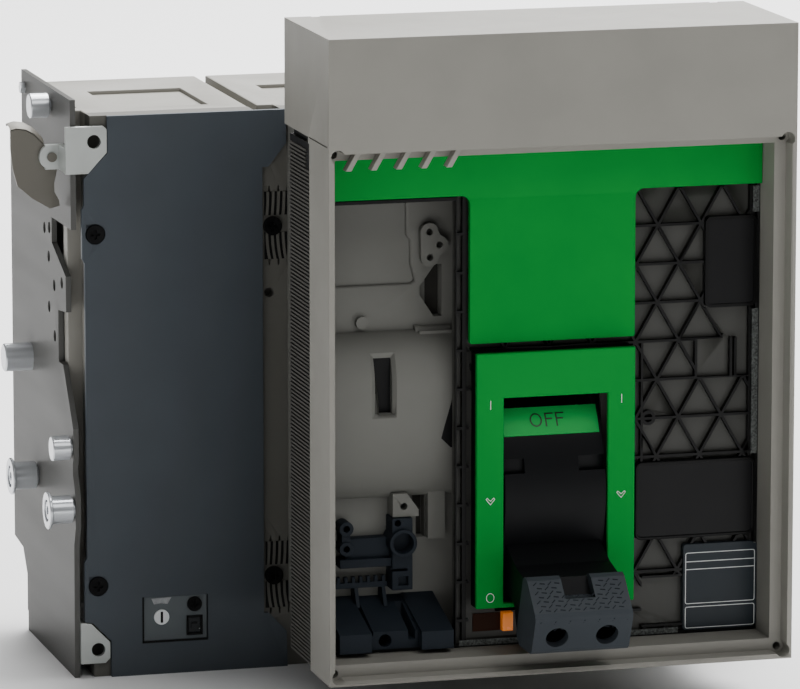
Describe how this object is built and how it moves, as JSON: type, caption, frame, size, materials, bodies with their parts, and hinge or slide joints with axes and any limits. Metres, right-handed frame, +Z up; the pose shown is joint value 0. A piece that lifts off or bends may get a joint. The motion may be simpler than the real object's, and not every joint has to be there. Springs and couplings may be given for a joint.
{
  "type": "drawout circuit breaker",
  "caption": "Withdrawable low voltage circuit breaker with toggle handle, hooded bezel, moulded poles and side plates with guide wheels.",
  "frame": {"origin": "on the plane of the case's foot, midway between the poles, at the front plane of the case", "axes": "+Z up, +Y to the rear where the plugs are, +X to the right seen from the front"},
  "size_m": [0.3606, 0.3064, 0.3075],
  "materials": {
    "case_resin": "fine grained grey resin",
    "dark_plate": "dark blue grey, satin",
    "black_plastic": "black, satin",
    "black_screw": "black oxide",
    "white_plastic": "white",
    "fibre": "arc chute fibre with steel plates",
    "copper": "copper",
    "contact_alloy": "silver alloy pads",
    "sheet_steel": "zinc plated sheet",
    "bright_steel": "turned bright steel",
    "galvanised": "light galvanised sheet",
    "lever_sheet": "grey brown",
    "smoked_cover": "smoked dark",
    "green_plastic": "green",
    "grip_plastic": "blue grey",
    "amber_plastic": "amber",
    "rating_face": "dark plate with white rules"
  },
  "bodies": {
    "base": {"rear_case": "case_resin", "mid_case": "case_resin", "pole_cover": "dark_plate", "cover_screws": "black_screw", "cover_insert": "black_plastic", "insert_screw": "black_screw", "arc_chute_1": "fibre", "arc_chute_2": "fibre", "arc_chute_3": "fibre", "arc_chute_4": "fibre", "phase_barriers": "case_resin", "upper_terminals": "copper", "fixed_contacts": "contact_alloy", "lower_terminals": "copper", "flexible_braids": "copper", "current_transformers": "black_plastic", "front_housing": "case_resin", "mechanism_frames": "sheet_steel", "handle_pin": "bright_steel", "trip_unit": "black_plastic", "terminal_block": "dark_plate", "wiring_tray": "dark_plate", "front_cover": "smoked_cover", "grille_frame": "black_plastic", "upper_window": "black_plastic", "lower_window": "black_plastic", "rating_plate": "rating_face", "amber_indicator": "amber_plastic", "grille_left": "black_plastic", "grille_right": "black_plastic", "face_plate": "green_plastic", "toggle_escutcheon": "green_plastic", "bezel": "case_resin", "bezel_screws": "bright_steel", "side_plate_left": "sheet_steel", "side_plate_right": "sheet_steel", "corner_brackets_left": "galvanised", "corner_brackets_right": "galvanised", "guide_studs_left": "bright_steel", "guide_studs_right": "bright_steel"},
    "handle": {"toggle_drum": "black_plastic", "position_band": "green_plastic", "toggle_grip": "grip_plastic", "handle_yoke": "sheet_steel", "main_springs": "bright_steel"},
    "contact_shaft": {"pole_shaft": "sheet_steel", "contact_fingers": "copper"},
    "link": {"toggle_link": "sheet_steel"},
    "disc": {"lock_disc": "white_plastic"},
    "button": {"test_button": "black_plastic"},
    "lever_l": {"lever_left": "lever_sheet"},
    "lever_r": {"lever_right": "lever_sheet"},
    "top_roller_l": {"top_roller_left": "bright_steel"},
    "top_roller_r": {"top_roller_right": "bright_steel"},
    "small_roller_l": {"small_roller_left": "bright_steel"},
    "small_roller_r": {"small_roller_right": "bright_steel"},
    "rear_wheel_l": {"rear_wheel_left": "bright_steel"},
    "rear_wheel_r": {"rear_wheel_right": "bright_steel"},
    "front_wheel_l": {"front_wheel_left": "bright_steel"},
    "front_wheel_r": {"front_wheel_right": "bright_steel"}
  },
  "joints": [
    {"name": "handle_hinge", "type": "hinge", "parent": "base", "child": "handle", "pos_m": [0.0293, -0.0726, 0.1], "axis": [-1, 0, 0], "range_deg": [0, 54]},
    {"name": "pole_shaft_hinge", "type": "hinge", "parent": "base", "child": "contact_shaft", "pos_m": [0, 0.034, 0.084], "axis": [-1, 0, 0], "range_deg": [0, 33]},
    {"name": "link_hinge", "type": "hinge", "parent": "contact_shaft", "child": "link", "pos_m": [0.0123, 0.02676, 0.10845], "axis": [-1, 0, 0], "range_deg": [-33, 0]},
    {"name": "lock_disc_hinge", "type": "hinge", "parent": "base", "child": "disc", "pos_m": [-0.1166, 0, 0.0262], "axis": [0, 1, 0], "range_deg": [0, 90]},
    {"name": "test_button_slide", "type": "slide", "parent": "base", "child": "button", "axis": [0, 1, 0], "range_m": [0, 0.0015], "stiffness_N_per_m": 200, "springref_m": -0.0005},
    {"name": "lever_left_hinge", "type": "hinge", "parent": "base", "child": "lever_l", "pos_m": [-0.1621, 0.015, 0.2363], "axis": [0, 1, 0], "range_deg": [0, 16]},
    {"name": "lever_right_hinge", "type": "hinge", "parent": "base", "child": "lever_r", "pos_m": [0.1621, 0.015, 0.2363], "axis": [0, -1, 0], "range_deg": [0, 16]},
    {"name": "top_roller_left_hinge", "type": "hinge", "parent": "base", "child": "top_roller_l", "pos_m": [-0.1565, 0.0407, 0.2556], "axis": [1, 0, 0], "continuous": true},
    {"name": "small_roller_left_hinge", "type": "hinge", "parent": "base", "child": "small_roller_l", "pos_m": [-0.1565, 0.0036, 0.1055], "axis": [1, 0, 0], "continuous": true},
    {"name": "rear_wheel_left_hinge", "type": "hinge", "parent": "base", "child": "rear_wheel_l", "pos_m": [-0.1565, 0.0767, 0.0785], "axis": [1, 0, 0], "continuous": true},
    {"name": "front_wheel_left_hinge", "type": "hinge", "parent": "base", "child": "front_wheel_l", "pos_m": [-0.1565, 0, 0.078], "axis": [1, 0, 0], "continuous": true},
    {"name": "top_roller_right_hinge", "type": "hinge", "parent": "base", "child": "top_roller_r", "pos_m": [0.1565, 0.0407, 0.2556], "axis": [1, 0, 0], "continuous": true},
    {"name": "small_roller_right_hinge", "type": "hinge", "parent": "base", "child": "small_roller_r", "pos_m": [0.1565, 0.0036, 0.1055], "axis": [1, 0, 0], "continuous": true},
    {"name": "rear_wheel_right_hinge", "type": "hinge", "parent": "base", "child": "rear_wheel_r", "pos_m": [0.1565, 0.0767, 0.0785], "axis": [1, 0, 0], "continuous": true},
    {"name": "front_wheel_right_hinge", "type": "hinge", "parent": "base", "child": "front_wheel_r", "pos_m": [0.1565, 0, 0.078], "axis": [1, 0, 0], "continuous": true}
  ],
  "couplings": [
    {"joint": "pole_shaft_hinge", "follows": "handle_hinge", "ratio": 0.61111},
    {"joint": "link_hinge", "follows": "handle_hinge", "ratio": -0.61111}
  ]
}
